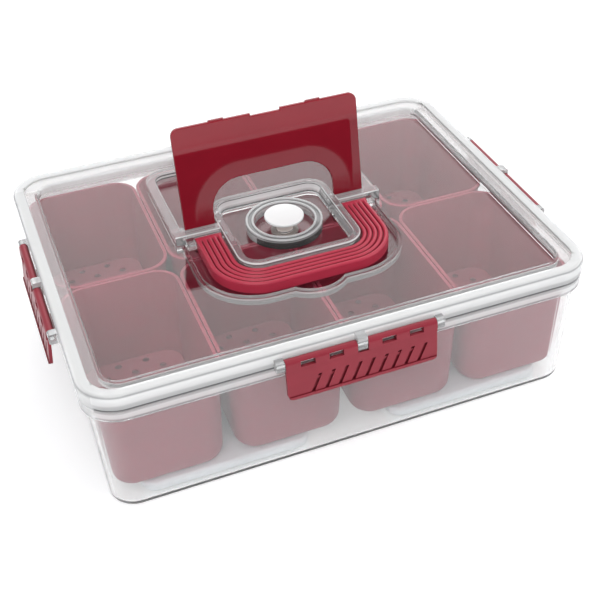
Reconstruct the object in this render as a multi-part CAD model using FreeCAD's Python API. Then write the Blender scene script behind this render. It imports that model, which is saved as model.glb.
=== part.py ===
import FreeCAD, Part
import math
import os

# A clear lidded box that keeps eight food cups cold over two freezer packs.
# Sizes are millimetres and angles are degrees. +X runs along the long side,
# +Y points to the back and +Z up. The origin is the middle of the tub's underside.

V = FreeCAD.Vector
X_AXIS = V(1, 0, 0)
Z_AXIS = V(0, 0, 1)
ORIGIN = V(0, 0, 0)

# Overall sizes and shared clearances
lid_length = 353.0
lid_width = 274.0
lid_corner_radius = 26.0
rim_height = 105.0
clear_wall = 2.6
move_gap = 0.3
pin_gap = 0.05
overrun = 5.0

# Lid rim, ledge and panel
rim_width = 8.6
ledge_drop = 1.6
rim_thickness = 5.0
rim_edge_radius = 3.0
rim_inner_radius = 0.8
ledge_width = 9.2
ledge_edge_radius = 2.0
ledge_corner_radius = 12.0
panel_drop = 7.0
skirt_height = 10.6

# Tub and gasket
tub_wall = 2.6
tub_floor = 3.0
tub_shoulder_width = 4.0
tub_base_inset = 4.0
tub_bottom_radius = 5.0
flange_height = 9.5
flange_inset = 0.5
flange_edge_radius = 1.2
skirt_gap = 0.9
gasket_thickness = 2.5
gasket_width = 5.4
gasket_seat_depth = 2.0

# Cups
cup_columns = 4
cup_rows = 2
cup_end_gap = 0.8
cup_side_gap = 4.5
cup_spacing = 0.6
cup_rim_drop = 17.0
cup_lip_width = 1.2
cup_lip_height = 2.0
cup_lip_radius = 0.5
cup_wall = 1.2
cup_base_inset = 3.0
cup_corner_radius = 17.0
cup_bottom_radius = 9.5

# Drain plates in the cups
drain_rise = 9.0
drain_thickness = 1.6
drain_edge_radius = 0.5
drain_corner_radius = 13.0
drain_hole_radius = 2.5
drain_rows = 11
drain_columns = 3
drain_end_margin = 5.8
drain_side_margin = 15.4

# Freezer packs
pack_thickness = 7.2
pack_end_gap = 18.0
pack_side_gap = 3.6
pack_middle_gap = 60.0
pack_corner_radius = 10.0
pack_edge_radius = 2.5

# Island in the middle of the lid
island_size = 91.6
island_corner_radius = 16.0
island_rise = 0.6
island_frame_width = 4.8
island_well_inset = 3.5
island_edge_radius = 1.5

# Carry handle and its recess
handle_island_gap = 1.0
handle_band_width = 19.0
handle_thickness = 8.0
handle_drop = 1.6
handle_axis_y = 3.5
handle_ribs = 5
rib_radius = 1.8
recess_side_gap = 7.2
recess_front_gap = 4.2
recess_drop = 5.0
recess_corner_radius = 40.0
scoop_width = 36.0
scoop_reach = 7.5
handle_ear_width = 4.5
handle_ear_wall = 1.5

# Bridge between the handle and the flip panel
bridge_depth = 8.0
bridge_gap = 0.5
bridge_edge_radius = 1.5

# Flip panel and its pocket
panel_half_width = 69.2
panel_reach = 79.0
panel_thickness = 3.0
panel_leg_width = 22.7
panel_arch_height = 34.3
panel_arch_radius = 22.0
panel_corner_radius = 6.0
panel_knuckle_radius = 2.4
panel_axis_drop = 5.0
panel_lean_angle = 8.5
panel_edge_radius = 0.7
notch_length = 22.0
notch_depth = 1.8
snap_tab_length = 11.0
snap_tab_height = 1.0
snap_tab_depth = 1.6
snap_tab_share = 0.52
pocket_side_gap = 2.8
pocket_back_gap = 2.0
pocket_drop = 3.0
pocket_corner_radius = 9.0
lip_width = 7.0
lip_drop = 2.5
panel_ear_reach = 4.0

# Hinge pins
pin_radius = 1.2
pin_seat = 3.5

# Vent
collar_outer_radius = 28.0
collar_inner_radius = 22.0
collar_rise = 0.8
collar_edge_radius = 0.6
collar_groove_width = 2.6
collar_groove_depth = 1.6
knob_radius = 14.3
knob_rise = 4.0
knob_thickness = 2.0
knob_edge_radius = 0.6
stem_radius = 6.0
stem_gap = 0.4
foot_radius = 7.3
foot_thickness = 1.2
seal_radius = 10.0
seal_thickness = 1.8
seal_gap = 0.2

# Latches
latch_length = 104.0
latch_height = 30.2
latch_flare_angle = 5.4
latch_top_drop = 4.4
latch_plate_thickness = 2.8
grip_face_depth = 0.7
grip_face_drop = 12.5
latch_corner_radius = 4.0
latch_lip_height = 2.2
knuckle_radius = 3.1
latch_notch_width = 7.4
latch_notch_drop = 12.7
window_length = 9.8
window_height = 4.2
window_top_drop = 6.5
window_shares = (-0.717, -0.348, 0.348, 0.717)
grip_count = 9
grip_pitch = 9.2
grip_shift = 4.4
grip_width = 2.4
grip_depth = 1.4
grip_top_drop = 19.8
grip_height = 12.6
grip_lean_width = 5.8
hook_height = 2.0
hook_drop = 0.4
hook_end_share = 0.8
hook_start_share = 0.25
post_width = 5.5
post_stand = 6.0
post_drop = 12.4
post_edge_radius = 2.0
tab_top_drop = 1.0

# Places worked out from the sizes
lid_half_x = lid_length / 2
lid_half_y = lid_width / 2
panel_top = rim_height - panel_drop
panel_under = panel_top - clear_wall
ledge_top = rim_height - ledge_drop
channel_top = rim_height - rim_thickness
skirt_bottom = rim_height - skirt_height
opening_inset = rim_width + ledge_width
flange_top = skirt_bottom - skirt_gap
flange_bottom = flange_top - flange_height
seat_top = channel_top + gasket_seat_depth
tub_rim = channel_top - gasket_thickness
tub_top_half = (lid_half_x - tub_shoulder_width, lid_half_y - tub_shoulder_width)
tub_base_half = (tub_top_half[0] - tub_base_inset, tub_top_half[1] - tub_base_inset)
pack_top = tub_floor + pack_thickness
pack_half_x = (tub_base_half[0] - tub_wall - pack_end_gap - pack_middle_gap / 2) / 2
pack_half_y = tub_base_half[1] - tub_wall - pack_side_gap
pack_centre = pack_half_x + pack_middle_gap / 2
cup_rim = rim_height - cup_rim_drop
island_half = island_size / 2
island_top = rim_height + island_rise
recess_floor = panel_top - recess_drop
recess_under = recess_floor - clear_wall
pocket_floor = panel_top - pocket_drop
pocket_under = pocket_floor - clear_wall
lip_top = rim_height - lip_drop
handle_inner = island_half + handle_island_gap
handle_outer = handle_inner + handle_band_width
handle_inner_radius = island_corner_radius + handle_island_gap
handle_outer_radius = handle_inner_radius + handle_band_width
handle_top = rim_height - handle_drop
handle_axis_z = handle_top - handle_thickness / 2
handle_knuckle = handle_thickness / 2
recess_half = handle_outer + recess_side_gap
recess_front = handle_outer + recess_front_gap
bridge_front = handle_axis_y + handle_knuckle + bridge_gap
bridge_back = bridge_front + bridge_depth
panel_axis_y = bridge_back + bridge_gap + panel_knuckle_radius
panel_axis_z = rim_height - panel_axis_drop
pocket_half = panel_half_width + pocket_side_gap
pocket_back = panel_axis_y + panel_reach + pocket_back_gap
latch_half = latch_length / 2
latch_top = rim_height - latch_top_drop
latch_axis_z = latch_top - knuckle_radius
latch_axis_out = knuckle_radius + move_gap
latch_face_out = latch_axis_out + knuckle_radius
tab_top = rim_height - tab_top_drop


def rounded_wire(x_low, x_high, y_low, y_high, radius, z):
    corners = [(x_high - radius, y_low + radius), (x_high - radius, y_high - radius),
               (x_low + radius, y_high - radius), (x_low + radius, y_low + radius)]
    arcs = []
    for index, (cx, cy) in enumerate(corners):
        circle = Part.Circle(V(cx, cy, z), Z_AXIS, radius)
        start = (index - 1) * math.pi / 2
        arcs.append(Part.ArcOfCircle(circle, start, start + math.pi / 2).toShape())
    edges = []
    for arc, after in zip(arcs, arcs[1:] + arcs[:1]):
        edges.append(arc)
        start = arc.valueAt(arc.LastParameter)
        end = after.valueAt(after.FirstParameter)
        edges.append(Part.LineSegment(start, end).toShape())
    return Part.Wire(edges)


def rounded_slab(half_x, y_low, y_high, radius, z_low, z_high):
    wire = rounded_wire(-half_x, half_x, y_low, y_high, radius, z_low)
    return Part.Face(wire).extrude(V(0, 0, z_high - z_low))


def centred_slab(half_x, half_y, radius, z_low, z_high):
    return rounded_slab(half_x, -half_y, half_y, radius, z_low, z_high)


def tapered_block(low_half, low_radius, z_low, high_half, high_radius, z_high, bottom_radius):
    low = rounded_wire(-low_half[0], low_half[0], -low_half[1], low_half[1], low_radius, z_low)
    high = rounded_wire(-high_half[0], high_half[0], -high_half[1], high_half[1], high_radius, z_high)
    block = Part.makeLoft([low, high], True, True)
    return round_edges(block, bottom_radius, lambda box: box.ZMax < z_low + bottom_radius / 2)


def block_between(x_low, x_high, y_low, y_high, z_low, z_high):
    return Part.makeBox(x_high - x_low, y_high - y_low, z_high - z_low, V(x_low, y_low, z_low))


def round_edges(shape, radius, wanted):
    return shape.makeFillet(radius, [edge for edge in shape.Edges if wanted(edge.BoundBox)])


def lid_slab(inset, radius, z_low, z_high):
    return centred_slab(lid_half_x - inset, lid_half_y - inset, radius, z_low, z_high)


def x_cylinder(radius, x_low, x_high, y, z):
    return Part.makeCylinder(radius, x_high - x_low, V(x_low, y, z), X_AXIS)


def on_side(shape, side):
    placed = shape.copy()
    placed.rotate(ORIGIN, Z_AXIS, math.degrees(math.pi / 2) * side_order.index(side))
    return placed


def mirrored_x(shape):
    return shape.mirror(ORIGIN, X_AXIS)


# The sides in their order round the lid, a quarter turn apart, and how far each is from the middle
side_order = ("front", "right", "back", "left")
side_reach = {"front": lid_half_y, "right": lid_half_x, "back": lid_half_y, "left": lid_half_x}


def make_tub():
    top_half = tub_top_half
    low_half = tub_base_half
    top_radius = lid_corner_radius - tub_shoulder_width
    low_radius = top_radius - tub_base_inset
    body = tapered_block(low_half, low_radius, 0, top_half, top_radius, flange_bottom, tub_bottom_radius)
    neck = centred_slab(top_half[0], top_half[1], top_radius, flange_bottom, tub_rim)
    flange = lid_slab(flange_inset, lid_corner_radius - flange_inset, flange_bottom, flange_top)
    flange = round_edges(flange, flange_edge_radius, lambda box: box.ZLength < flange_height / 2)
    inner_top = (top_half[0] - tub_wall, top_half[1] - tub_wall)
    inner_low = (low_half[0] - tub_wall, low_half[1] - tub_wall)
    hollow = tapered_block(inner_low, low_radius - tub_wall, tub_floor, inner_top, top_radius - tub_wall,
                           flange_bottom, tub_bottom_radius - tub_wall)
    mouth = centred_slab(inner_top[0], inner_top[1], top_radius - tub_wall, flange_bottom, tub_rim + overrun)
    return body.fuse([neck, flange]).cut(hollow.fuse(mouth)).removeSplitter()


def make_gasket():
    outer = clear_wall + move_gap
    inner = outer + gasket_width
    ring = lid_slab(outer, lid_corner_radius - outer, tub_rim, seat_top)
    return ring.cut(lid_slab(inner, lid_corner_radius - inner, tub_rim - overrun, seat_top + overrun))


def inside_lid(box, inset):
    reach_x = lid_half_x - inset + move_gap
    reach_y = lid_half_y - inset + move_gap
    return max(-box.XMin, box.XMax) < reach_x and max(-box.YMin, box.YMax) < reach_y


def lid_shell():
    shell = lid_slab(0, lid_corner_radius, skirt_bottom, rim_height)
    shell = round_edges(shell, rim_edge_radius, lambda box: box.ZMin > ledge_top)
    dip = lid_slab(rim_width, lid_corner_radius - rim_width, ledge_top, rim_height + overrun)
    panel_dip = lid_slab(opening_inset, ledge_corner_radius, panel_top, rim_height + overrun)
    plug_inset = opening_inset - clear_wall
    channel_low = skirt_bottom - overrun
    channel = lid_slab(clear_wall, lid_corner_radius - clear_wall, channel_low, channel_top)
    channel = channel.cut(lid_slab(plug_inset, ledge_corner_radius + clear_wall, channel_low, channel_top))
    under = lid_slab(opening_inset, ledge_corner_radius, skirt_bottom - overrun, panel_under)
    seat_inset = clear_wall + gasket_width + 2 * move_gap
    seat = lid_slab(clear_wall, lid_corner_radius - clear_wall, channel_top, seat_top)
    seat = seat.cut(lid_slab(seat_inset, lid_corner_radius - seat_inset, channel_top, seat_top))
    shell = shell.cut([dip, panel_dip, channel, under, seat])
    shell = round_edges(shell, rim_inner_radius,
                        lambda box: box.ZMin > rim_height - move_gap and inside_lid(box, rim_width))
    return round_edges(shell, ledge_edge_radius,
                       lambda box: abs(box.ZMin - ledge_top) + abs(box.ZMax - ledge_top) < move_gap
                       and inside_lid(box, opening_inset))


def recess_region(grow, z_low, z_high, y_high):
    radius = recess_corner_radius + grow
    front = recess_front + grow
    region = rounded_slab(recess_half + grow, -front, front, radius, z_low, z_high)
    scoop_half = scoop_width / 2
    scoop_radius = (scoop_half ** 2 + scoop_reach ** 2) / (2 * scoop_reach)
    centre_y = -recess_front - scoop_reach + scoop_radius
    scoop = Part.makeCylinder(scoop_radius + grow, z_high - z_low, V(0, centre_y, z_low))
    span = recess_half + recess_front
    return region.fuse(scoop).common(block_between(-span, span, -span, y_high, z_low, z_high))


def pocket_region(grow, z_low, z_high, y_low):
    radius = pocket_corner_radius + grow
    region = rounded_slab(pocket_half + grow, -pocket_back - grow, pocket_back + grow, radius, z_low, z_high)
    span = pocket_half + pocket_back
    return region.common(block_between(-span, span, y_low, span, z_low, z_high))


def island_block():
    block = centred_slab(island_half, island_half, island_corner_radius, recess_under, island_top)
    return round_edges(block, island_edge_radius, lambda box: box.ZMin > rim_height)


def island_well():
    top = island_half - island_frame_width
    low = top - island_well_inset
    top_radius = island_corner_radius - island_frame_width
    low_radius = top_radius - island_well_inset
    wires = [rounded_wire(-low, low, -low, low, low_radius, panel_top),
             rounded_wire(-top, top, -top, top, top_radius, island_top)]
    return Part.makeLoft(wires, True, True)


def handle_ear():
    x_low = handle_outer + move_gap
    x_high = x_low + handle_ear_width + handle_ear_wall
    half = pin_radius + handle_ear_wall
    return block_between(x_low, x_high, handle_axis_y - half, bridge_front,
                         handle_axis_z - half, handle_axis_z + half)


def panel_ear():
    return block_between(panel_half_width + move_gap, pocket_half + lip_width / 2, bridge_back,
                         panel_axis_y + panel_ear_reach, pocket_under, lip_top)


def hinge_post(half_out, x_low, x_high, top):
    stand = -half_out - post_stand
    upper = block_between(x_low, x_high, stand, -half_out + clear_wall / 2, skirt_bottom, top)
    lower = block_between(x_low, x_high, stand, -half_out, rim_height - post_drop, skirt_bottom)
    post = upper.fuse(lower).removeSplitter()
    return round_edges(post, post_edge_radius,
                       lambda box: box.YMax < stand + move_gap and box.XLength > (x_high - x_low) / 2)


def side_fittings(half_out):
    outer = latch_half + move_gap
    tab = latch_notch_width / 2 - move_gap
    posts = [hinge_post(half_out, outer, outer + post_width, latch_top),
             hinge_post(half_out, -outer - post_width, -outer, latch_top),
             hinge_post(half_out, -tab, tab, tab_top)]
    bore_half = outer + post_width - pin_gap
    bore = x_cylinder(pin_radius + pin_gap, -bore_half, bore_half, -half_out - latch_axis_out, latch_axis_z)
    return posts, bore


def make_lid():
    bridge_half = pocket_half + lip_width
    bridge = block_between(-bridge_half, bridge_half, bridge_front, bridge_back, recess_under, rim_height)
    bridge = round_edges(bridge, bridge_edge_radius,
                         lambda box: box.ZMin > ledge_top and box.XLength > pocket_half)
    middle_y = (bridge_front + bridge_back) / 2
    added = [recess_region(clear_wall, recess_under, panel_top, middle_y),
             pocket_region(lip_width, pocket_under, lip_top, middle_y), bridge]
    island = island_block()
    floor_hole = Part.makeCylinder(stem_radius + stem_gap, panel_top, ORIGIN)
    hollow_top = island_top + overrun
    recess = recess_region(0, recess_floor, hollow_top, bridge_front).cut(island)
    pocket = pocket_region(0, pocket_floor, hollow_top, bridge_back).cut(island)
    ears = [handle_ear(), panel_ear()]
    ears = ears + [mirrored_x(ear) for ear in ears]
    under_half = island_half - clear_wall
    under = centred_slab(under_half, under_half, island_corner_radius - clear_wall,
                         recess_under - overrun, panel_under)
    lid = lid_shell().fuse(added).cut([recess, pocket]).fuse([island] + ears)
    lid = lid.cut([island_well(), under, floor_hole])
    bores = []
    for side, half_out in side_reach.items():
        posts, bore = side_fittings(half_out)
        lid = lid.fuse([on_side(post, side) for post in posts])
        bores.append(on_side(bore, side))
    for seat_out, y, z in pivot_seats():
        seat = x_cylinder(pin_radius + pin_gap, island_half - pin_seat, seat_out, y, z)
        bores = bores + [seat, mirrored_x(seat)]
    return lid.cut(bores).removeSplitter()


def pivot_seats():
    return [(handle_outer + move_gap + handle_ear_width, handle_axis_y, handle_axis_z),
            (pocket_half, panel_axis_y, panel_axis_z)]


def make_pivot_pin(seat_out, y, z):
    return x_cylinder(pin_radius, island_half - pin_seat + pin_gap, seat_out - pin_gap, y, z)


def make_latch_pin(half_out):
    half = latch_half + post_width
    return x_cylinder(pin_radius, -half, half, -half_out - latch_axis_out, latch_axis_z)


def make_latch(half_out):
    face = -half_out - latch_face_out
    inner = face + latch_plate_thickness
    bottom = latch_top - latch_height
    grip_face_top = rim_height - grip_face_drop
    plate = block_between(-latch_half, latch_half, face, inner, bottom, latch_axis_z)
    plate = round_edges(plate, latch_corner_radius,
                        lambda box: box.ZMax < bottom + latch_corner_radius
                        and box.YLength > latch_plate_thickness / 2)
    grip_face = block_between(-latch_half - overrun, latch_half + overrun, face - overrun,
                              face + grip_face_depth, bottom + latch_lip_height, grip_face_top)
    knuckle = x_cylinder(knuckle_radius, -latch_half, latch_half, -half_out - latch_axis_out, latch_axis_z)
    hook_top = flange_bottom - hook_drop
    hook_tip = -half_out + flange_inset - move_gap
    hook = block_between(hook_start_share * latch_half, hook_end_share * latch_half,
                         face, hook_tip, hook_top - hook_height, hook_top)
    notch_half = latch_notch_width / 2
    notch = block_between(-notch_half, notch_half, face - overrun, -half_out,
                          rim_height - latch_notch_drop, latch_top + overrun)
    bore = x_cylinder(pin_radius + pin_gap, -latch_half - overrun, latch_half + overrun,
                      -half_out - latch_axis_out, latch_axis_z)
    cuts = [grip_face, notch]
    window_top = rim_height - window_top_drop
    for share in window_shares:
        low = share * latch_half - window_length / 2
        cuts.append(block_between(low, low + window_length, face - overrun, -half_out,
                                  window_top - window_height, window_top))
    cuts = cuts + grip_grooves(face + grip_face_depth)
    flared = plate.fuse(knuckle).cut(cuts)
    flared.rotate(V(0, -half_out - latch_axis_out, latch_axis_z), X_AXIS, -latch_flare_angle)
    return flared.fuse([hook, mirrored_x(hook)]).cut(bore).removeSplitter()


def grip_grooves(face):
    top = rim_height - grip_top_drop
    low = top - grip_height
    first = grip_shift - grip_pitch * (grip_count - 1) / 2
    grooves = []
    for index in range(grip_count):
        middle = first + index * grip_pitch
        half = grip_width / 2
        lean = grip_lean_width / 2
        points = [V(middle - lean - half, face, low), V(middle - lean + half, face, low),
                  V(middle + lean + half, face, top), V(middle + lean - half, face, top)]
        outline = Part.makePolygon(points + points[:1])
        grooves.append(Part.Face(outline).extrude(V(0, grip_depth, 0)))
    return grooves


def make_handle():
    base_low = handle_top - handle_thickness
    base_high = handle_top - rib_radius
    base = rounded_slab(handle_outer, -handle_outer, handle_outer, handle_outer_radius, base_low, base_high)
    hole = rounded_slab(handle_inner, -handle_inner, handle_inner, handle_inner_radius, base_low - overrun,
                        base_high + overrun)
    front = block_between(-lid_half_x, lid_half_x, -lid_half_y, handle_axis_y, 0, lid_length)
    handle = base.cut(hole).common(front)
    pitch = handle_band_width / handle_ribs
    ribs = []
    for index in range(handle_ribs):
        inset = pitch * (index + 1 / 2)
        ribs.append(u_tube(handle_outer - inset, handle_outer_radius - inset, base_high))
    knuckle = x_cylinder(handle_knuckle, handle_inner, handle_outer, handle_axis_y, handle_axis_z)
    handle = handle.fuse(ribs + [knuckle, mirrored_x(knuckle)])
    bore = x_cylinder(pin_radius + pin_gap, 0, lid_half_x, handle_axis_y, handle_axis_z)
    return handle.cut([bore, mirrored_x(bore)]).removeSplitter()


def u_tube(half, radius, z):
    back = handle_axis_y
    left = Part.LineSegment(V(-half, back, z), V(-half, -half + radius, z)).toShape()
    left_arc = Part.ArcOfCircle(Part.Circle(V(-half + radius, -half + radius, z), Z_AXIS, radius),
                                math.pi, math.pi * 3 / 2).toShape()
    front = Part.LineSegment(V(-half + radius, -half, z), V(half - radius, -half, z)).toShape()
    right_arc = Part.ArcOfCircle(Part.Circle(V(half - radius, -half + radius, z), Z_AXIS, radius),
                                 math.pi * 3 / 2, math.pi * 2).toShape()
    right = Part.LineSegment(V(half, -half + radius, z), V(half, back, z)).toShape()
    path = Part.Wire([left, left_arc, front, right_arc, right])
    section = Part.Wire([Part.makeCircle(rib_radius, V(-half, back, z), V(0, -1, 0))])
    return path.makePipeShell([section], True, False)


def make_panel():
    low = panel_axis_z
    high = low + panel_reach
    front = panel_axis_y - panel_thickness / 2
    back = front + panel_thickness
    plate = block_between(-panel_half_width, panel_half_width, front, back, low, high)
    plate = round_edges(plate, panel_corner_radius,
                        lambda box: box.ZMin > high - panel_thickness and box.YLength > panel_thickness / 2
                        and box.XLength < panel_thickness)
    arch_half = panel_half_width - panel_leg_width
    arch = block_between(-arch_half, arch_half, front - overrun, back + overrun,
                         low - overrun, low + panel_arch_height)
    arch = round_edges(arch, panel_arch_radius, lambda box: box.ZMin > low and box.XLength < panel_thickness)
    notch = block_between(-notch_length / 2, notch_length / 2, front - overrun, back + overrun,
                          high - notch_depth, high + overrun)
    plate = plate.cut([arch, notch])
    plate = round_edges(plate, panel_edge_radius,
                        lambda box: box.YLength < panel_thickness / 2 and box.ZMax > low)
    knuckle = x_cylinder(panel_knuckle_radius, arch_half, panel_half_width, panel_axis_y, panel_axis_z)
    tabs = []
    for sign in (-1, 1):
        middle = sign * snap_tab_share * panel_half_width
        tabs.append(block_between(middle - snap_tab_length / 2, middle + snap_tab_length / 2,
                                  panel_axis_y - snap_tab_depth / 2, panel_axis_y + snap_tab_depth / 2,
                                  high - snap_tab_height, high + snap_tab_height))
    panel = plate.fuse([knuckle, mirrored_x(knuckle)] + tabs)
    bore = x_cylinder(pin_radius + pin_gap, 0, lid_half_x, panel_axis_y, panel_axis_z)
    panel = panel.cut([bore, mirrored_x(bore)]).removeSplitter()
    panel.rotate(V(0, panel_axis_y, panel_axis_z), X_AXIS, -panel_lean_angle)
    return panel


def round_ring(inner, outer, z_low, z_high):
    ring = Part.makeCylinder(outer, z_high - z_low, V(0, 0, z_low))
    return ring.cut(Part.makeCylinder(inner, z_high - z_low, V(0, 0, z_low)))


def make_collar():
    top = rim_height + collar_rise
    collar = round_ring(collar_inner_radius, collar_outer_radius, panel_top, top)
    middle = (collar_outer_radius + collar_inner_radius) / 2
    groove_half = collar_groove_width / 2
    groove_low = top - collar_groove_depth
    collar = collar.cut(round_ring(middle - groove_half, middle + groove_half, groove_low, top + overrun))
    return round_edges(collar, collar_edge_radius, lambda box: box.ZMin > top - collar_groove_depth / 2)


def make_knob():
    cap_top = rim_height + knob_rise
    cap = Part.makeCylinder(knob_radius, knob_thickness, V(0, 0, cap_top - knob_thickness))
    cap = round_edges(cap, knob_edge_radius, lambda box: box.ZLength < knob_thickness / 2)
    seal_low = panel_under - seal_gap - seal_thickness
    stem = Part.makeCylinder(stem_radius, cap_top - knob_thickness / 2 - seal_low, V(0, 0, seal_low))
    foot = Part.makeCylinder(foot_radius, foot_thickness, V(0, 0, seal_low - foot_thickness))
    return cap.fuse([stem, foot]).removeSplitter()


def make_seal():
    seal_high = panel_under - seal_gap
    return round_ring(stem_radius + pin_gap, seal_radius, seal_high - seal_thickness, seal_high)


def cup_pitch():
    inner_x = tub_top_half[0] - tub_wall - cup_end_gap
    inner_y = tub_top_half[1] - tub_wall - cup_side_gap
    return 2 * inner_x / cup_columns, 2 * inner_y / cup_rows


def cup_halves():
    rim_half = [(pitch - cup_spacing) / 2 for pitch in cup_pitch()]
    top_half = [half - cup_lip_width for half in rim_half]
    low_half = [half - cup_base_inset for half in top_half]
    return rim_half, top_half, low_half


def make_cup():
    rim_half, top_half, low_half = cup_halves()
    low_radius = cup_corner_radius - cup_base_inset / 2
    body = tapered_block(low_half, low_radius, pack_top, top_half, cup_corner_radius, cup_rim,
                         cup_bottom_radius)
    lip_low = cup_rim - cup_lip_height
    lip = centred_slab(rim_half[0], rim_half[1], cup_corner_radius + cup_lip_width, lip_low, cup_rim)
    lip = round_edges(lip, cup_lip_radius, lambda box: box.ZMin > lip_low)
    inner_top = (top_half[0] - cup_wall, top_half[1] - cup_wall)
    inner_low = (low_half[0] - cup_wall, low_half[1] - cup_wall)
    hollow = tapered_block(inner_low, low_radius - cup_wall, pack_top + cup_wall, inner_top,
                           cup_corner_radius - cup_wall, cup_rim, cup_bottom_radius - cup_wall)
    return body.fuse(lip).cut(hollow).removeSplitter()


def make_drain():
    top = pack_top + drain_rise
    low = top - drain_thickness
    bend = cup_bottom_radius - cup_wall
    below_bend = pack_top + cup_bottom_radius - low
    inset = cup_wall + bend - math.sqrt(bend ** 2 - below_bend ** 2) + move_gap
    half_x, half_y = [half - inset for half in cup_halves()[2]]
    plate = centred_slab(half_x, half_y, drain_corner_radius, low, top)
    plate = round_edges(plate, drain_edge_radius, lambda box: box.ZMin > low)
    pitch_x = 2 * (half_x - drain_side_margin) / (drain_columns - 1)
    pitch_y = 2 * (half_y - drain_end_margin) / (drain_rows - 1)
    holes = []
    for row in range(drain_rows):
        columns = drain_columns - 1 + row % 2
        y = (row - (drain_rows - 1) / 2) * pitch_y
        for column in range(columns):
            x = (column - (columns - 1) / 2) * pitch_x
            holes.append(Part.makeCylinder(drain_hole_radius, drain_thickness, V(x, y, low)))
    return plate.cut(holes)


def make_pack():
    pack = centred_slab(pack_half_x, pack_half_y, pack_corner_radius, tub_floor, pack_top)
    return round_edges(pack, pack_edge_radius, lambda box: box.ZLength < pack_thickness / 2)


def make_parts():
    parts = {"tub": make_tub(), "lid": make_lid(), "lid_gasket": make_gasket(), "flip_panel": make_panel(),
             "carry_handle": make_handle(), "vent_collar": make_collar(), "vent_knob": make_knob(),
             "vent_seal": make_seal()}
    for side, half_out in side_reach.items():
        parts["latch_" + side] = on_side(make_latch(half_out), side)
        parts["latch_pin_" + side] = on_side(make_latch_pin(half_out), side)
    for name, seat in zip(("handle_pin", "panel_pin"), pivot_seats()):
        pin = make_pivot_pin(*seat)
        parts[name + "_right"] = pin
        parts[name + "_left"] = mirrored_x(pin)
    pitch_x, pitch_y = cup_pitch()
    cup = make_cup()
    drain = make_drain()
    for row, row_name in enumerate(("front", "back")):
        for column in range(cup_columns):
            place = V((column - (cup_columns - 1) / 2) * pitch_x, (row - (cup_rows - 1) / 2) * pitch_y, 0)
            parts["cup_%s_%d" % (row_name, column + 1)] = cup.translated(place)
            parts["drain_%s_%d" % (row_name, column + 1)] = drain.translated(place)
    pack = make_pack()
    for name, sign in (("left", -1), ("right", 1)):
        parts["ice_pack_" + name] = pack.translated(V(sign * pack_centre, 0, 0))
    return parts


os.makedirs("parts", exist_ok=True)
for node, shape in make_parts().items():
    shape.exportStep("parts/%s.step" % node)
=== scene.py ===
import math

import bpy
from mathutils import Euler, Matrix, Vector


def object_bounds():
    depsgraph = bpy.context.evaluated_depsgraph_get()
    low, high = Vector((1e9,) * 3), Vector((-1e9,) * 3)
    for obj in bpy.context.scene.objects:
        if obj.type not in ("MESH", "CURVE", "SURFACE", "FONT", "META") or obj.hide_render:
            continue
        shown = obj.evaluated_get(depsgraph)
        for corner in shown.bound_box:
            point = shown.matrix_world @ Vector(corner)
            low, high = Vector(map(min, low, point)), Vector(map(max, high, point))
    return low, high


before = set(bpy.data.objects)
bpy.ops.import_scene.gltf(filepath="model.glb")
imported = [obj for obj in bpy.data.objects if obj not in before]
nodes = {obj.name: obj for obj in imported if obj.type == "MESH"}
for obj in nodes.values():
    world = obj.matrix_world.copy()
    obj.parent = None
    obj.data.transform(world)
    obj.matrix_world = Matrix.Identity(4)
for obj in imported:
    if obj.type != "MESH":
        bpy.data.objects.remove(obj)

# Looks of the chilled prep station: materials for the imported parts, a pale floor,
# soft studio light and a camera at the photograph's angle. Lengths are metres.

cad_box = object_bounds()
scene = bpy.context.scene

# Camera, fitted to the lid's rim and the tub's edges in the photograph
camera_place = Vector((-0.2048, -0.6147, 0.5400))
camera_azimuth = 21.21
camera_elevation = 37.96
camera_roll = -1.49
camera_focal = 64.55
camera_shift = (-0.0494, -0.0100)
camera_sensor = 36.0
camera_near = 0.01

# Floor: its own light for the camera, gloss and glass grows with the distance from the middle
floor_half = 6.0
floor_drop = 0.0002
floor_white = 0.93
floor_spread = 0.01
floor_grain = 3.0
floor_rough = 0.9
floor_lift = 0.25
far_floor = (0.8, 2.5)
far_lift = 0.6

# Sky: gloss and glass see it darker in front
sky_colour = (0.95, 0.97, 1.0)
sky_level = 0.64
front_way = (-0.3, -0.95, 0.0)
front_range = (0.15, 0.6)
front_level = 0.08
gloss_level = 0.8

# Lamps as (name, place, size, watts)
lamp_target = (0.0, 0.0, 0.06)
lamps = (("key", (-0.6, -1.0, 1.5), 1.2, 13.0), ("fill", (1.3, -0.6, 1.0), 1.2, 6.0),
         ("rear", (0.88, 2.29, 2.06), 3.2, 35.0))

# Moulded and clear surfaces: noises as (features per metre, detail, stretch), and what goes with them
flow_noise = (35.0, 4.0, (1.0, 1.0, 2.5))
tone_range = (0.3, 0.7)
skin_noise = (900.0, 2.0)
skin_depth = 0.0002
clear_noise = (60.0, 2.0)
clear_rough = (0.0, 0.03)
clear_ior = 1.49

# Flip panel: its sizes, where its front rolls, and how far it tips at the top, below it and by the arch
panel_axis = (0.0189, 0.1000)
panel_lean = math.radians(8.5)
panel_half = 0.0692
arch_half = 0.0465
arch_height = 0.0343
arch_radius = 0.022
top_roll = (0.0580, 0.0640)
arch_roll = (0.0110, 0.0180)
edge_roll = (0.006, 0.008)
top_tip = -0.052
band_tip = 0.20
low_tip = 0.115
low_tip_fall = 0.2

# Painted shade in the grooves of the latches and the handle (its reach, range and samples), the foot of the
# knob's cap and the lean of the lid's panel
groove_reach = 0.003
groove_range = (0.80, 0.45)
groove_samples = 8
cap_foot = 0.1069
lid_lean = (0.086, 0.0995)

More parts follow.
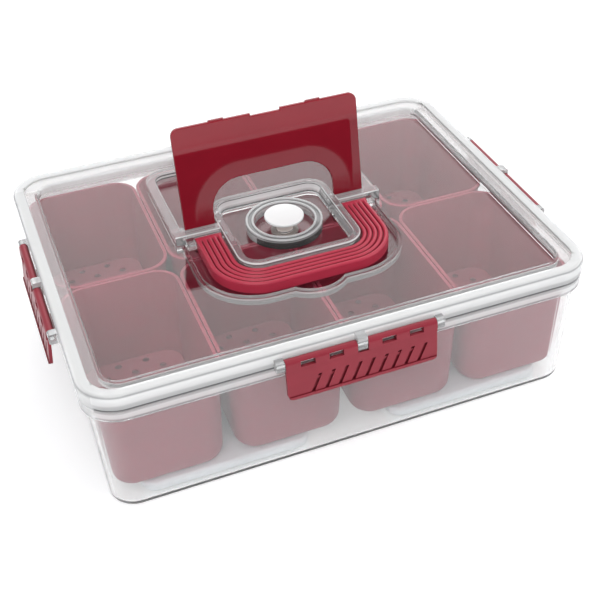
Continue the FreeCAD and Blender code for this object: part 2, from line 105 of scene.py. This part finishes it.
# Colours, linear
clear_tint = (0.975, 0.985, 0.985)
latch_colour = (0.28, 0.024, 0.040)
# Painted shade for the latch's grooves and creases
latch_groove_shade = (0.12, 0.008, 0.014)
handle_colour = (0.46, 0.023, 0.056)
# Painted shade for the handle's grooves and creases
handle_groove_shade = (0.20, 0.006, 0.018)
panel_colour = (0.22, 0.005, 0.015)
# Painted highlight: the flip panel's upper band, lighter for the light it catches
panel_top_highlight = (0.29, 0.008, 0.020)
cup_colour = (0.31, 0.041, 0.070)
drain_colour = (0.37, 0.077, 0.110)
pack_colour = (0.86, 0.90, 0.93)
knob_colour = (0.90, 0.90, 0.89)
stem_colour = (0.96, 0.86, 0.80)
gasket_colour = (0.93, 0.93, 0.92)
seal_colour = (0.30, 0.26, 0.24)


def new_material(name):
    """An empty node material and its output node."""
    material = bpy.data.materials.new(name)
    material.use_nodes = True
    tree = material.node_tree
    tree.nodes.clear()
    return material, tree, tree.nodes.new("ShaderNodeOutputMaterial")


def add_noise(tree, scale, detail=3.0, stretch=(1.0, 1.0, 1.0)):
    """A noise texture in the part's own space; scale counts features per metre."""
    place = tree.nodes.new("ShaderNodeTexCoord")
    mapping = tree.nodes.new("ShaderNodeMapping")
    mapping.inputs["Scale"].default_value = stretch
    noise = tree.nodes.new("ShaderNodeTexNoise")
    noise.inputs["Scale"].default_value = scale
    noise.inputs["Detail"].default_value = detail
    tree.links.new(place.outputs["Object"], mapping.inputs["Vector"])
    tree.links.new(mapping.outputs["Vector"], noise.inputs["Vector"])
    return noise


def add_range(tree, source, low, high):
    """Maps a 0 to 1 socket to low to high."""
    node = tree.nodes.new("ShaderNodeMapRange")
    node.inputs["To Min"].default_value = low
    node.inputs["To Max"].default_value = high
    tree.links.new(source, node.inputs["Value"])
    return node.outputs["Result"]


def add_bump(tree, source, strength, distance):
    """A bump normal from a height socket; distance is metres."""
    node = tree.nodes.new("ShaderNodeBump")
    node.inputs["Strength"].default_value = strength
    node.inputs["Distance"].default_value = distance
    tree.links.new(source, node.inputs["Height"])
    return node.outputs["Normal"]


def add_tones(tree, source, colour, spread):
    """A colour that varies by a share of itself with a 0 to 1 socket."""
    ramp = tree.nodes.new("ShaderNodeValToRGB")
    low, high = ramp.color_ramp.elements
    low.position, high.position = tone_range
    low.color = (*(c * (1 - spread) for c in colour), 1)
    high.color = (*(min(1, c * (1 + spread)) for c in colour), 1)
    tree.links.new(source, ramp.inputs["Fac"])
    return ramp.outputs["Color"]


def add_math(tree, operation, first, second=None):
    """One math node; each input is a socket or a number."""
    node = tree.nodes.new("ShaderNodeMath")
    node.operation = operation
    for index, value in enumerate((first, second)):
        if value is None:
            continue
        if isinstance(value, (int, float)):
            node.inputs[index].default_value = value
        else:
            tree.links.new(value, node.inputs[index])
    return node.outputs[0]


def add_step(tree, source, low, high):
    """0 below low, 1 above high and even in between."""
    node = tree.nodes.new("ShaderNodeMapRange")
    node.inputs["From Min"].default_value = low
    node.inputs["From Max"].default_value = high
    tree.links.new(source, node.inputs["Value"])
    return node.outputs["Result"]


def add_mixed(tree, share, first, second):
    """A blend of two colours by a 0 to 1 socket."""
    node = tree.nodes.new("ShaderNodeMix")
    node.data_type = "RGBA"
    tree.links.new(share, node.inputs["Factor"])
    for name, colour in (("A", first), ("B", second)):
        socket = next(i for i in node.inputs if i.name == name and i.type == "RGBA")
        if isinstance(colour, tuple):
            socket.default_value = (*colour, 1)
        else:
            tree.links.new(colour, socket)
    return next(o for o in node.outputs if o.type == "RGBA")


def add_between(tree, share, first, second):
    """A value between two, each a socket or a number, by a 0 to 1 socket."""
    low = add_math(tree, "MULTIPLY", add_math(tree, "SUBTRACT", 1.0, share), first)
    return add_math(tree, "ADD", low, add_math(tree, "MULTIPLY", share, second))


def add_place(tree, output="Object"):
    """The part's own x, y and z, or those of its normal."""
    place = tree.nodes.new("ShaderNodeTexCoord")
    parts = tree.nodes.new("ShaderNodeSeparateXYZ")
    tree.links.new(place.outputs[output], parts.inputs["Vector"])
    return parts.outputs


def moulded(name, colour, spread=0.06, rough=(0.2, 0.3), bump=0.02, other=None, normal=None, **sockets):
    """Injection-moulded plastic: slight flow marks in the colour and a fine skin.

    other gives some of the part a second colour, as (colour, share): the knob stem's own colour, painted
    shade in grooves or a painted highlight on the flip panel's top band. normal turns the surface; both
    make their socket from the tree.
    """
    material, tree, output = new_material(name)
    shader = tree.nodes.new("ShaderNodeBsdfPrincipled")
    flow = add_noise(tree, *flow_noise).outputs["Fac"]
    skin = add_noise(tree, *skin_noise).outputs["Fac"]
    tones = add_tones(tree, flow, colour, spread)
    if other:
        other_colour, share = other
        tones = add_mixed(tree, share(tree), tones, add_tones(tree, flow, other_colour, spread))
    tree.links.new(tones, shader.inputs["Base Color"])
    tree.links.new(add_range(tree, skin, *rough), shader.inputs["Roughness"])
    facing = normal(tree) if normal else add_bump(tree, skin, bump, skin_depth)
    tree.links.new(facing, shader.inputs["Normal"])
    for socket, value in sockets.items():
        shader.inputs[socket.replace("_", " ")].default_value = value
    tree.links.new(shader.outputs["BSDF"], output.inputs["Surface"])
    return material


def add_unit(tree, x, y, z):
    """The direction of three sockets."""
    whole = tree.nodes.new("ShaderNodeCombineXYZ")
    for name, part in zip("XYZ", (x, y, z)):
        tree.links.new(part, whole.inputs[name])
    unit = tree.nodes.new("ShaderNodeVectorMath")
    unit.operation = "NORMALIZE"
    tree.links.new(whole.outputs["Vector"], unit.inputs[0])
    return unit.outputs["Vector"]


def add_normal_parts(tree):
    """The x, y and z of the surface's direction."""
    shape = tree.nodes.new("ShaderNodeNewGeometry")
    parts = tree.nodes.new("ShaderNodeSeparateXYZ")
    tree.links.new(shape.outputs["Normal"], parts.inputs["Vector"])
    return parts.outputs


def add_beyond(tree, reach, radius):
    """The squared distance from the middle of a box's round corner, from (place, half size) pairs."""
    squares = 0.0
    for place, half in reach:
        beyond = add_math(tree, "MAXIMUM", add_math(tree, "SUBTRACT", place, half - radius), 0.0)
        squares = add_math(tree, "ADD", squares, add_math(tree, "MULTIPLY", beyond, beyond))
    return squares


def panel_up(tree):
    """The distance from the flip panel's hinge, along the panel."""
    place = add_place(tree)
    axis_y, axis_z = panel_axis
    rise = add_math(tree, "SUBTRACT", place["Z"], axis_z)
    back = add_math(tree, "SUBTRACT", place["Y"], axis_y)
    along_rise = add_math(tree, "MULTIPLY", rise, math.cos(panel_lean))
    along_back = add_math(tree, "MULTIPLY", back, math.sin(panel_lean))
    return add_math(tree, "ADD", along_rise, along_back)


def panel_away(tree):
    """1 on the flip panel away from its arch and its right edge."""
    across = add_place(tree)["X"]
    reach = ((add_math(tree, "ABSOLUTE", across), arch_half), (panel_up(tree), arch_height))
    distance = add_math(tree, "SQRT", add_beyond(tree, reach, arch_radius))
    off_arch = add_step(tree, add_math(tree, "SUBTRACT", distance, arch_radius), *arch_roll)
    off_edge = add_step(tree, add_math(tree, "SUBTRACT", panel_half, across), *edge_roll)
    return add_math(tree, "MULTIPLY", off_arch, off_edge)


def panel_top(tree):
    """1 on the flip panel's upper band, which is painted lighter as a highlight and tips down."""
    return add_step(tree, panel_up(tree), *top_roll)


def panel_normal(tree):
    """The flip panel's rolled front, which tips down at the top and up below it."""
    low = add_math(tree, "SUBTRACT", low_tip, add_math(tree, "MULTIPLY", panel_up(tree), low_tip_fall))
    below_top = add_between(tree, panel_away(tree), low, band_tip)
    tip = add_between(tree, panel_top(tree), below_top, top_tip)
    parts = add_normal_parts(tree)
    back = add_math(tree, "ADD", parts["Y"], add_math(tree, "MULTIPLY", tip, math.sin(panel_lean)))
    rise = add_math(tree, "ADD", parts["Z"], add_math(tree, "MULTIPLY", tip, math.cos(panel_lean)))
    return add_unit(tree, parts["X"], back, rise)


def groove_shade_mask(tree):
    """1 in narrow grooves and creases, where shade is painted into the colour."""
    near = tree.nodes.new("ShaderNodeAmbientOcclusion")
    near.inputs["Distance"].default_value = groove_reach
    near.samples = groove_samples
    return add_step(tree, near.outputs["AO"], *groove_range)


def knob_stem(tree):
    """1 on the vent knob below its cap."""
    return add_math(tree, "LESS_THAN", add_place(tree)["Z"], cap_foot)


def add_slope(tree):
    """0 on level faces and 1 on upright ones."""
    level = add_math(tree, "ABSOLUTE", add_place(tree, "Normal")["Z"])
    return add_math(tree, "SUBTRACT", 1.0, level)


def add_leant(tree, lean, height):
    """The surface's direction, with level faces below a height leant to the front."""
    parts = add_normal_parts(tree)
    below = add_math(tree, "LESS_THAN", add_place(tree)["Z"], height)
    shift = add_math(tree, "MULTIPLY", add_math(tree, "MULTIPLY", below, lean), parts["Z"])
    return add_unit(tree, parts["X"], add_math(tree, "SUBTRACT", parts["Y"], shift), parts["Z"])


def add_outside(tree, place, half_x, half_y, radius=0.0):
    """1 outside an upright box with rounded corners around the middle."""
    halves = (("X", half_x), ("Y", half_y))
    reach = [(add_math(tree, "ABSOLUTE", place[axis]), half) for axis, half in halves]
    return add_math(tree, "GREATER_THAN", add_beyond(tree, reach, radius), radius * radius)


def add_zone(tree, inner, outer, front=-1.0, back=1.0):
    """1 between two upright boxes and between two y, and 0 elsewhere."""
    place = add_place(tree)
    zone = add_math(tree, "SUBTRACT", add_outside(tree, place, *inner), add_outside(tree, place, *outer))
    zone = add_math(tree, "MULTIPLY", zone, add_math(tree, "GREATER_THAN", place["Y"], front))
    return add_math(tree, "MULTIPLY", zone, add_math(tree, "LESS_THAN", place["Y"], back))


def add_painted_bands(tree, bands):
    """Painted reflections, highlights and shade lines, as grey tones and milky shares by height, from
    (height, grey, share) stops.
    """
    low, high = bands[0][0], bands[-1][0]
    ramp = tree.nodes.new("ShaderNodeValToRGB")
    stops = ramp.color_ramp.elements
    stops.remove(stops[1])
    for index, (height, grey, share) in enumerate(bands):
        place = (height - low) / (high - low)
        stop = stops.new(place) if index else stops[0]
        stop.position = place
        stop.color = (grey, grey, grey, share)
    tree.links.new(add_step(tree, add_place(tree)["Z"], low, high), ramp.inputs["Fac"])
    return ramp.outputs


def clear(name, level=0.0, upright=0.0, lean=None, shade=0.97, zones=()):
    """Clear moulded plastic that bends light and lets the lamps through.

    level and upright are the milky shares of flat and standing faces: partly haze, partly painted
    brightness that stands in for reflections in clear edges. lean tips the flat faces below a height, as
    (slope, height). shade is what the lamps keep per face.
    zones paint reflections, highlights and shade lines into the plastic by height as greys and milky
    shares, each as (sizes, bands).
    """
    material, tree, output = new_material(name)
    shader = tree.nodes.new("ShaderNodeBsdfPrincipled")
    # Milky share by slope: partly haze, partly painted brightness on standing faces
    plain = level if level == upright else add_range(tree, add_slope(tree), level, upright)
    milk_and_sheen, base = plain, clear_tint
    for sizes, bands in zones:
        zone = add_zone(tree, *sizes)
        tones = add_painted_bands(tree, bands)
        base = add_mixed(tree, zone, base, tones["Color"])
        milk_and_sheen = add_between(tree, zone, milk_and_sheen, add_math(tree, "MAXIMUM", plain, tones["Alpha"]))
    if zones:
        tree.links.new(base, shader.inputs["Base Color"])
    else:
        shader.inputs["Base Color"].default_value = (*clear_tint, 1)
    if zones or level != upright:
        tree.links.new(add_math(tree, "SUBTRACT", 1.0, milk_and_sheen), shader.inputs["Transmission Weight"])
    else:
        shader.inputs["Transmission Weight"].default_value = 1.0 - level
    shader.inputs["IOR"].default_value = clear_ior
    skin = add_noise(tree, *clear_noise).outputs["Fac"]
    tree.links.new(add_range(tree, skin, *clear_rough), shader.inputs["Roughness"])
    if lean:
        tree.links.new(add_leant(tree, *lean), shader.inputs["Normal"])
    through = tree.nodes.new("ShaderNodeBsdfTransparent")
    through.inputs["Color"].default_value = (shade, shade, shade, 1)
    path = tree.nodes.new("ShaderNodeLightPath")
    mix = tree.nodes.new("ShaderNodeMixShader")
    tree.links.new(path.outputs["Is Shadow Ray"], mix.inputs["Fac"])
    tree.links.new(shader.outputs["BSDF"], mix.inputs[1])
    tree.links.new(through.outputs["BSDF"], mix.inputs[2])
    tree.links.new(mix.outputs["Shader"], output.inputs["Surface"])
    return material


# Zones of the clear parts, between an inner and an outer box (half sizes and corner radius)
# and between two y
none, far = (-1.0, -1.0), (1.0, 1.0)
rim_box = (0.1677, 0.1282, 0.0172)
rim_zone = (rim_box, far)
front_zone = (rim_box, far, -1.0, -0.1282)
post_zone = ((0.1768, 0.1373, 0.0260), far)
back_zone = (rim_box, far, 0.1150)
ledge_back_zone = (none, rim_box, 0.1150)
ledge_zone = ((0.1550, 1.0), (0.1677, 1.0), -0.1200, 0.1200)
island_zone = (none, (0.0470, 0.0470))
island_back_zone = (none, (0.0470, 0.0470), 0.0300)
island_front_zone = (none, (0.0470, 0.0470), -1.0, -0.0300)
bridge_zone = ((0.0459, 1.0), (0.0795, 1.0), 0.0082, 0.0158)
lip_zone = ((0.0459, 0.0459), (0.0795, 0.1075), 0.0158)
collar_zone = (none, far)
collar_front_zone = (none, far, -1.0, -0.0120)

# Greys and milky shares of the zones by height, as (height, grey, share): painted reflections, highlights
# and shade lines that stand in for the fine reflections in clear edges and the shade in seams
pale_bands = ((0.0835, 0.96, 0.1), (0.0845, 0.90, 0.35), (0.1032, 0.92, 0.40), (0.1037, 0.55, 0.5),
              (0.1041, 0.60, 0.5), (0.1046, 0.97, 0.48))
rim_bands = ((0.0940, 0.12, 0.9), (0.0945, 0.16, 0.9), (0.0949, 0.72, 0.5), (0.0972, 0.82, 0.45),
             (0.0984, 0.96, 0.50), (0.1032, 0.96, 0.50), (0.1037, 0.55, 0.5), (0.1041, 0.60, 0.5),
             (0.1046, 0.97, 0.5))
back_bands = ((0.0835, 0.96, 0.1), (0.0845, 0.97, 0.6), (0.1032, 0.97, 0.6), (0.1037, 0.75, 0.5),
              (0.1046, 0.97, 0.55))
ledge_back_bands = ((0.0980, 0.97, 0.0), (0.0984, 0.97, 0.45), (0.1030, 0.97, 0.45), (0.1034, 0.97, 0.35))
post_bands = ((0.0900, 0.85, 0.2), (0.0990, 0.85, 0.2), (0.1000, 0.30, 0.4), (0.1010, 0.95, 0.3))
ledge_bands = ((0.0980, 0.97, 0.0), (0.0982, 0.08, 0.85), (0.0987, 0.08, 0.85), (0.0990, 0.97, 0.1))
island_bands = ((0.0985, 0.96, 0.0), (0.0992, 0.75, 0.25), (0.1034, 0.80, 0.25), (0.1039, 0.15, 0.65),
                (0.1043, 0.20, 0.65), (0.1046, 0.97, 0.7), (0.1053, 0.97, 0.6), (0.1055, 0.80, 0.2))
island_back_bands = ((0.0985, 0.96, 0.0), (0.0995, 0.85, 0.3), (0.1015, 0.97, 0.7), (0.1038, 0.97, 0.7),
                     (0.1041, 0.20, 0.6), (0.1044, 0.20, 0.6), (0.1047, 0.97, 0.7), (0.1055, 0.80, 0.2))
island_front_bands = ((0.0980, 0.97, 0.0), (0.0982, 0.97, 0.5), (0.0994, 0.97, 0.5), (0.1000, 0.80, 0.25),
                      (0.1034, 0.80, 0.25), (0.1039, 0.15, 0.65), (0.1043, 0.20, 0.65), (0.1046, 0.97, 0.7),
                      (0.1053, 0.97, 0.6), (0.1055, 0.80, 0.2))
bridge_bands = ((0.1032, 0.96, 0.0), (0.1034, 0.20, 0.5), (0.1038, 0.25, 0.5), (0.1040, 0.97, 0.6),
                (0.1047, 0.97, 0.6), (0.1049, 0.90, 0.2))
lip_bands = ((0.0980, 0.97, 0.0), (0.0982, 0.08, 0.75), (0.0990, 0.10, 0.7), (0.0994, 0.95, 0.4),
             (0.1006, 0.95, 0.4), (0.1010, 0.12, 0.6), (0.1016, 0.15, 0.6), (0.1020, 0.97, 0.7),
             (0.1024, 0.95, 0.25))
collar_bands = ((0.0980, 0.60, 0.25), (0.1032, 0.85, 0.35), (0.1040, 0.40, 0.4), (0.1046, 0.35, 0.5),
                (0.1050, 0.97, 0.6), (0.1056, 0.97, 0.45))
collar_front_bands = ((0.0980, 0.06, 0.65), (0.1030, 0.10, 0.6), (0.1036, 0.85, 0.4), (0.1042, 0.35, 0.5),
                      (0.1046, 0.35, 0.5), (0.1050, 0.97, 0.6), (0.1056, 0.97, 0.45))
# The dark stops near the flange's top are painted shade in the seam under the lid's skirt
flange_bands = ((0.0838, 0.96, 0.02), (0.0842, 0.55, 0.4), (0.0852, 0.65, 0.3), (0.0862, 0.50, 0.4),
                (0.0875, 0.93, 0.55), (0.0902, 0.95, 0.55), (0.0912, 0.62, 0.5), (0.0924, 0.50, 0.5),
                (0.0932, 0.15, 0.9), (0.0937, 0.15, 0.9), (0.0943, 0.95, 0.2), (0.0975, 0.95, 0.2))

clear_plastic = clear("clear_plastic", upright=0.12)
pin_clear = clear("pin_clear", level=0.85, upright=0.85)
# The lid's, the collar's and the tub's zones carry painted reflections, highlights and shade lines
clear_lid = clear("clear_lid", upright=0.25, lean=lid_lean, shade=0.93, zones=(
    (rim_zone, pale_bands), (front_zone, rim_bands), (back_zone, back_bands), (post_zone, post_bands),
    (ledge_zone, ledge_bands), (ledge_back_zone, ledge_back_bands), (island_zone, island_bands),
    (island_back_zone, island_back_bands), (island_front_zone, island_front_bands),
    (bridge_zone, bridge_bands), (lip_zone, lip_bands)))
clear_collar = clear("clear_collar", upright=0.12,
                     zones=((collar_zone, collar_bands), (collar_front_zone, collar_front_bands)))
clear_tub = clear("clear_tub", level=0.02, upright=0.08, shade=0.93, zones=(
    (rim_zone, pale_bands), (front_zone, flange_bands), (back_zone, back_bands)))
# The latches and the handle get painted shade in their grooves and creases
latch_red = moulded("latch_red", latch_colour, rough=(0.28, 0.4), other=(latch_groove_shade, groove_shade_mask),
                    Specular_IOR_Level=0.3)
handle_red = moulded("handle_red", handle_colour, rough=(0.3, 0.42), other=(handle_groove_shade, groove_shade_mask))
# The flip panel's upper band carries a painted highlight
panel_red = moulded("panel_red", panel_colour, spread=0.04, rough=(0.09, 0.12),
                    other=(panel_top_highlight, panel_top), normal=panel_normal)
cup_pink = moulded("cup_pink", cup_colour, rough=(0.4, 0.5), bump=0.003, Specular_IOR_Level=0.25)
drain_pink = moulded("drain_pink", drain_colour, rough=(0.4, 0.5), Specular_IOR_Level=0.25)
pack_white = moulded("pack_white", pack_colour, spread=0.02, rough=(0.35, 0.5))
white_plastic = moulded("white_plastic", knob_colour, spread=0.02, rough=(0.25, 0.35),
                        other=(stem_colour, knob_stem))
gasket_white = moulded("gasket_white", gasket_colour, spread=0.02, rough=(0.45, 0.6))
seal_beige = moulded("seal_beige", seal_colour, spread=0.04, rough=(0.45, 0.6))

finishes = {
    "clear_plastic": clear_plastic,
    "latch_red": latch_red,
    "handle_red": handle_red,
    "panel_red": panel_red,
    "cup_pink": cup_pink,
    "pack_white": pack_white,
    "white_plastic": white_plastic,
    "silicone": gasket_white,
}
own_finishes = {"lid": clear_lid, "tub": clear_tub, "vent_collar": clear_collar, "vent_seal": seal_beige}
own_finishes.update({name: drain_pink for name in nodes if name.startswith("drain_")})
own_finishes.update({name: pin_clear for name in nodes if name.startswith("latch_pin_")})

for name, node in nodes.items():
    for slot in node.material_slots:
        slot.material = own_finishes.get(name) or finishes[slot.material.name.split(".")[0]]


def add_seen(tree, path):
    """1 for camera, gloss and glass rays."""
    seen = add_math(tree, "MAXIMUM", path.outputs["Is Camera Ray"], path.outputs["Is Glossy Ray"])
    return add_math(tree, "MAXIMUM", seen, path.outputs["Is Transmission Ray"])


def make_floor():
    """A wide pale floor that keeps the object's shadow."""
    corners = [(x * floor_half, y * floor_half, 0.0) for x, y in ((-1, -1), (1, -1), (1, 1), (-1, 1))]
    mesh = bpy.data.meshes.new("floor")
    mesh.from_pydata(corners, [], [(0, 1, 2, 3)])
    floor = bpy.data.objects.new("floor", mesh)
    floor.location.z = cad_box[0][2] - floor_drop
    scene.collection.objects.link(floor)
    material, tree, output = new_material("floor_white")
    shader = tree.nodes.new("ShaderNodeBsdfPrincipled")
    shader.inputs["Roughness"].default_value = floor_rough
    shader.inputs["Specular IOR Level"].default_value = 0.0
    haze = add_noise(tree, floor_grain).outputs["Fac"]
    tones = add_tones(tree, haze, (floor_white,) * 3, floor_spread)
    tree.links.new(tones, shader.inputs["Base Color"])
    lift = tree.nodes.new("ShaderNodeEmission")
    path = tree.nodes.new("ShaderNodeLightPath")
    place = tree.nodes.new("ShaderNodeTexCoord")
    away = tree.nodes.new("ShaderNodeVectorMath")
    away.operation = "LENGTH"
    tree.links.new(place.outputs["Object"], away.inputs[0])
    level = add_between(tree, add_step(tree, away.outputs["Value"], *far_floor), floor_lift, far_lift)
    tree.links.new(add_math(tree, "MULTIPLY", add_seen(tree, path), level), lift.inputs["Strength"])
    both = tree.nodes.new("ShaderNodeAddShader")
    tree.links.new(shader.outputs["BSDF"], both.inputs[0])
    tree.links.new(lift.outputs["Emission"], both.inputs[1])
    tree.links.new(both.outputs["Shader"], output.inputs["Surface"])
    mesh.materials.append(material)


def add_softbox(name, place, size, watts):
    """A square lamp that points at the box."""
    lamp = bpy.data.lights.new(name, "AREA")
    lamp.shape = "SQUARE"
    lamp.size = size
    lamp.energy = watts
    holder = bpy.data.objects.new(name, lamp)
    holder.location = place
    holder.rotation_euler = (Vector(lamp_target) - Vector(place)).to_track_quat("-Z", "Y").to_euler()
    scene.collection.objects.link(holder)


def make_sky():
    """White to the camera; white with a dark front in gloss and glass; an even pale light otherwise."""
    world = bpy.data.worlds.new("studio")
    scene.world = world
    world.use_nodes = True
    tree = world.node_tree
    tree.nodes.clear()
    output = tree.nodes.new("ShaderNodeOutputWorld")
    path = tree.nodes.new("ShaderNodeLightPath")
    light = tree.nodes.new("ShaderNodeBackground")
    light.inputs["Color"].default_value = (*sky_colour, 1)
    light.inputs["Strength"].default_value = sky_level
    backdrop = tree.nodes.new("ShaderNodeBackground")
    backdrop.inputs["Color"].default_value = (1.0, 1.0, 1.0, 1)
    place = tree.nodes.new("ShaderNodeTexCoord")
    facing = tree.nodes.new("ShaderNodeVectorMath")
    facing.operation = "DOT_PRODUCT"
    facing.inputs[1].default_value = front_way
    tree.links.new(place.outputs["Generated"], facing.inputs[0])
    front = add_step(tree, facing.outputs["Value"], *front_range)
    shown = add_between(tree, front, gloss_level, gloss_level * front_level)
    strength = add_between(tree, path.outputs["Is Camera Ray"], shown, 1.0)
    tree.links.new(strength, backdrop.inputs["Strength"])
    mix = tree.nodes.new("ShaderNodeMixShader")
    tree.links.new(add_seen(tree, path), mix.inputs["Fac"])
    tree.links.new(light.outputs["Background"], mix.inputs[1])
    tree.links.new(backdrop.outputs["Background"], mix.inputs[2])
    tree.links.new(mix.outputs["Shader"], output.inputs["Surface"])


def make_camera():
    """The photograph's view."""
    lens = bpy.data.cameras.new("photo_view")
    lens.sensor_width = camera_sensor
    lens.lens = camera_focal
    lens.shift_x, lens.shift_y = camera_shift
    lens.clip_start = camera_near
    holder = bpy.data.objects.new("photo_view", lens)
    level = Euler((math.radians(90 - camera_elevation), 0, math.radians(-camera_azimuth))).to_matrix()
    roll = Matrix.Rotation(math.radians(camera_roll), 3, "Z")
    holder.matrix_world = Matrix.Translation(camera_place) @ (level @ roll).to_4x4()
    scene.collection.objects.link(holder)
    scene.camera = holder


make_floor()
make_sky()
make_camera()
for lamp in lamps:
    add_softbox(*lamp)

scene.view_settings.view_transform = "Standard"
